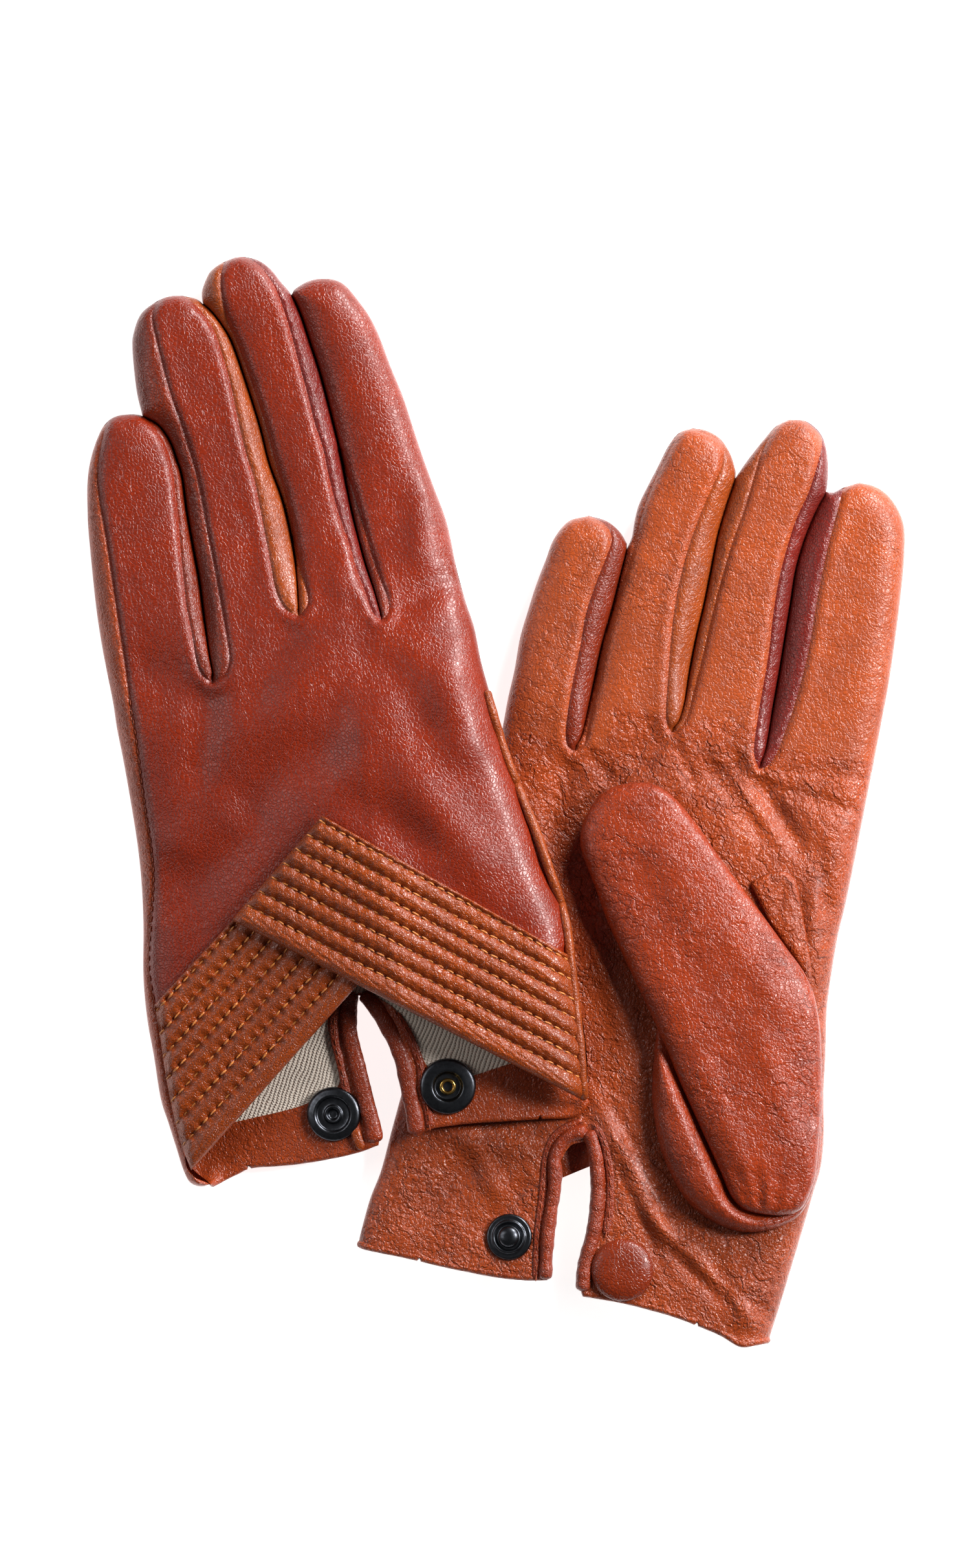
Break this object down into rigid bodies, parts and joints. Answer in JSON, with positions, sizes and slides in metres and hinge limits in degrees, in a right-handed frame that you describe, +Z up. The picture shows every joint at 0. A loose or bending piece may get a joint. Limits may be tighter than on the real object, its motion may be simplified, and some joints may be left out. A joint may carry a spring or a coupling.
{
  "type": "pair of leather driving gloves",
  "caption": "Pair of nappa driving gloves with quilted crossed cuff bands, fourchette fingers and a press-stud wrist vent, one lying over the other.",
  "frame": {"origin": "centre of the pair's bounding box, at the level of the surface it lies on", "axes": "+Y towards the fingertips, +X towards the right glove, +Z up off the surface"},
  "size_m": [0.1937, 0.2588, 0.0269],
  "materials": {
    "right_back_panel": "smooth cognac nappa with a soft sheen",
    "right_palm_panel": "smooth cognac nappa, creased by wear",
    "right_cap_flap": "smooth cognac nappa, creased by wear",
    "right_stud_flap": "smooth cognac nappa, creased by wear",
    "right_band_upper": "nappa quilted in rows with golden thread",
    "right_band_lower": "nappa quilted in rows with golden thread",
    "right_lining": "fine beige jersey knit",
    "right_quirk": "smooth cognac nappa, creased by wear",
    "right_thumb_base": "smooth cognac nappa, creased by wear",
    "right_thumb_upper": "smooth cognac nappa, creased by wear",
    "right_thumb_lower": "smooth cognac nappa, creased by wear",
    "right_cap_button": "leather-covered press cap",
    "right_cap_socket": "dark gunmetal plating",
    "right_cap_eyelet": "polished brass post",
    "right_stud_post": "dark gunmetal plating",
    "right_stud_washer": "dark gunmetal plating",
    "right_little_back": "smooth cognac nappa with a soft sheen",
    "right_little_front": "smooth cognac nappa, creased by wear",
    "right_little_fourchette_radial": "nappa side strip with a turned seam",
    "right_ring_back": "smooth cognac nappa with a soft sheen",
    "right_ring_front": "smooth cognac nappa, creased by wear",
    "right_ring_fourchette_ulnar": "nappa side strip with a turned seam",
    "right_ring_fourchette_radial": "nappa side strip with a turned seam",
    "right_middle_back": "smooth cognac nappa with a soft sheen",
    "right_middle_front": "smooth cognac nappa, creased by wear",
    "right_middle_fourchette_ulnar": "nappa side strip with a turned seam",
    "right_middle_fourchette_radial": "nappa side strip with a turned seam",
    "right_index_back": "smooth cognac nappa with a soft sheen",
    "right_index_front": "smooth cognac nappa, creased by wear",
    "right_index_fourchette_ulnar": "nappa side strip with a turned seam",
    "left_back_panel": "smooth cognac nappa with a soft sheen",
    "left_palm_panel": "smooth cognac nappa, creased by wear",
    "left_cap_flap": "smooth cognac nappa, creased by wear",
    "left_stud_flap": "smooth cognac nappa, creased by wear",
    "left_band_upper": "nappa quilted in rows with golden thread",
    "left_band_lower": "nappa quilted in rows with golden thread",
    "left_lining": "fine beige jersey knit",
    "left_quirk": "smooth cognac nappa, creased by wear",
    "left_thumb_base": "smooth cognac nappa, creased by wear",
    "left_thumb_upper": "smooth cognac nappa, creased by wear",
    "left_thumb_lower": "smooth cognac nappa, creased by wear",
    "left_cap_button": "leather-covered press cap",
    "left_cap_socket": "dark gunmetal plating",
    "left_cap_eyelet": "polished brass post",
    "left_stud_post": "dark gunmetal plating",
    "left_stud_washer": "dark gunmetal plating",
    "left_little_back": "smooth cognac nappa with a soft sheen",
    "left_little_front": "smooth cognac nappa, creased by wear",
    "left_little_fourchette_radial": "nappa side strip with a turned seam",
    "left_ring_back": "smooth cognac nappa with a soft sheen",
    "left_ring_front": "smooth cognac nappa, creased by wear",
    "left_ring_fourchette_ulnar": "nappa side strip with a turned seam",
    "left_ring_fourchette_radial": "nappa side strip with a turned seam",
    "left_middle_back": "smooth cognac nappa with a soft sheen",
    "left_middle_front": "smooth cognac nappa, creased by wear",
    "left_middle_fourchette_ulnar": "nappa side strip with a turned seam",
    "left_middle_fourchette_radial": "nappa side strip with a turned seam",
    "left_index_back": "smooth cognac nappa with a soft sheen",
    "left_index_front": "smooth cognac nappa, creased by wear",
    "left_index_fourchette_ulnar": "nappa side strip with a turned seam"
  },
  "bodies": {
    "right_hand": {"right_back_panel": "right_back_panel", "right_palm_panel": "right_palm_panel", "right_band_upper": "right_band_upper", "right_band_lower": "right_band_lower", "right_lining": "right_lining", "right_quirk": "right_quirk", "right_thumb_base": "right_thumb_base"},
    "left_hand": {"left_back_panel": "left_back_panel", "left_palm_panel": "left_palm_panel", "left_band_upper": "left_band_upper", "left_band_lower": "left_band_lower", "left_lining": "left_lining", "left_quirk": "left_quirk", "left_thumb_base": "left_thumb_base"},
    "right_little": {"right_little_back": "right_little_back", "right_little_front": "right_little_front", "right_little_fourchette_radial": "right_little_fourchette_radial"},
    "right_ring": {"right_ring_back": "right_ring_back", "right_ring_front": "right_ring_front", "right_ring_fourchette_ulnar": "right_ring_fourchette_ulnar", "right_ring_fourchette_radial": "right_ring_fourchette_radial"},
    "right_middle": {"right_middle_back": "right_middle_back", "right_middle_front": "right_middle_front", "right_middle_fourchette_ulnar": "right_middle_fourchette_ulnar", "right_middle_fourchette_radial": "right_middle_fourchette_radial"},
    "right_index": {"right_index_back": "right_index_back", "right_index_front": "right_index_front", "right_index_fourchette_ulnar": "right_index_fourchette_ulnar"},
    "right_thumb": {"right_thumb_upper": "right_thumb_upper", "right_thumb_lower": "right_thumb_lower"},
    "right_cap_flap": {"right_cap_flap": "right_cap_flap", "right_cap_button": "right_cap_button", "right_cap_socket": "right_cap_socket", "right_cap_eyelet": "right_cap_eyelet"},
    "right_stud_flap": {"right_stud_flap": "right_stud_flap", "right_stud_post": "right_stud_post", "right_stud_washer": "right_stud_washer"},
    "left_little": {"left_little_back": "left_little_back", "left_little_front": "left_little_front", "left_little_fourchette_radial": "left_little_fourchette_radial"},
    "left_ring": {"left_ring_back": "left_ring_back", "left_ring_front": "left_ring_front", "left_ring_fourchette_ulnar": "left_ring_fourchette_ulnar", "left_ring_fourchette_radial": "left_ring_fourchette_radial"},
    "left_middle": {"left_middle_back": "left_middle_back", "left_middle_front": "left_middle_front", "left_middle_fourchette_ulnar": "left_middle_fourchette_ulnar", "left_middle_fourchette_radial": "left_middle_fourchette_radial"},
    "left_index": {"left_index_back": "left_index_back", "left_index_front": "left_index_front", "left_index_fourchette_ulnar": "left_index_fourchette_ulnar"},
    "left_thumb": {"left_thumb_upper": "left_thumb_upper", "left_thumb_lower": "left_thumb_lower"},
    "left_cap_flap": {"left_cap_flap": "left_cap_flap", "left_cap_button": "left_cap_button", "left_cap_socket": "left_cap_socket", "left_cap_eyelet": "left_cap_eyelet"},
    "left_stud_flap": {"left_stud_flap": "left_stud_flap", "left_stud_post": "left_stud_post", "left_stud_washer": "left_stud_washer"}
  },
  "joints": [
    {"name": "left_glove_lift", "type": "slide", "parent": "right_hand", "child": "left_hand", "axis": [0, 0, 1], "range_m": [0, 0.15]},
    {"name": "right_little_fold", "type": "hinge", "parent": "right_hand", "child": "right_little", "pos_m": [0.01051, 0.01505, 0.0105], "axis": [0.9785, -0.2065, 0], "range_deg": [0, 60]},
    {"name": "right_ring_fold", "type": "hinge", "parent": "right_hand", "child": "right_ring", "pos_m": [0.03346, 0.02106, 0.0105], "axis": [0.9816, -0.1909, 0], "range_deg": [0, 60]},
    {"name": "right_middle_fold", "type": "hinge", "parent": "right_hand", "child": "right_middle", "pos_m": [0.05473, 0.01861, 0.0105], "axis": [0.9769, -0.2137, 0], "range_deg": [0, 60]},
    {"name": "right_index_fold", "type": "hinge", "parent": "right_hand", "child": "right_index", "pos_m": [0.07736, 0.01065, 0.0105], "axis": [0.9867, -0.1626, 0], "range_deg": [0, 60]},
    {"name": "right_thumb_lift", "type": "hinge", "parent": "right_hand", "child": "right_thumb", "pos_m": [0.05907, -0.05878, 0.02115], "axis": [0.9803, 0.1977, 0], "range_deg": [0, 80]},
    {"name": "right_cap_flap_fold", "type": "hinge", "parent": "right_hand", "child": "right_cap_flap", "pos_m": [0.03574, -0.10173, 0.0127], "axis": [-0.484, 0.875, 0], "range_deg": [0, 75]},
    {"name": "right_stud_flap_fold", "type": "hinge", "parent": "right_hand", "child": "right_stud_flap", "pos_m": [0.00235, -0.09304, 0.0114], "axis": [-0.7835, -0.6214, 0], "range_deg": [0, 75]},
    {"name": "left_little_fold", "type": "hinge", "parent": "left_hand", "child": "left_little", "pos_m": [-0.08033, 0.03024, 0.0116], "axis": [0.9911, 0.1328, 0], "range_deg": [0, 45]},
    {"name": "left_ring_fold", "type": "hinge", "parent": "left_hand", "child": "left_ring", "pos_m": [-0.05869, 0.04742, 0.0146], "axis": [0.9742, 0.2258, 0], "range_deg": [0, 45]},
    {"name": "left_middle_fold", "type": "hinge", "parent": "left_hand", "child": "left_middle", "pos_m": [-0.03829, 0.04833, 0.0164], "axis": [0.9701, 0.2426, 0], "range_deg": [0, 45]},
    {"name": "left_index_fold", "type": "hinge", "parent": "left_hand", "child": "left_index", "pos_m": [-0.01801, 0.0474, 0.017], "axis": [0.9662, 0.2579, 0], "range_deg": [0, 45]},
    {"name": "left_thumb_swing", "type": "hinge", "parent": "left_hand", "child": "left_thumb", "pos_m": [0.00262, -0.00536, 0.0075], "axis": [0, 0, -1], "range_deg": [0, 6]},
    {"name": "left_cap_flap_fold", "type": "hinge", "parent": "left_hand", "child": "left_cap_flap", "pos_m": [-0.00822, -0.06238, 0.014], "axis": [-0.8336, 0.5524, 0], "range_deg": [0, 10]},
    {"name": "left_stud_flap_fold", "type": "hinge", "parent": "left_hand", "child": "left_stud_flap", "pos_m": [-0.04701, -0.06835, 0.0103], "axis": [-0.5305, -0.8477, 0], "range_deg": [0, 25]}
  ]
}
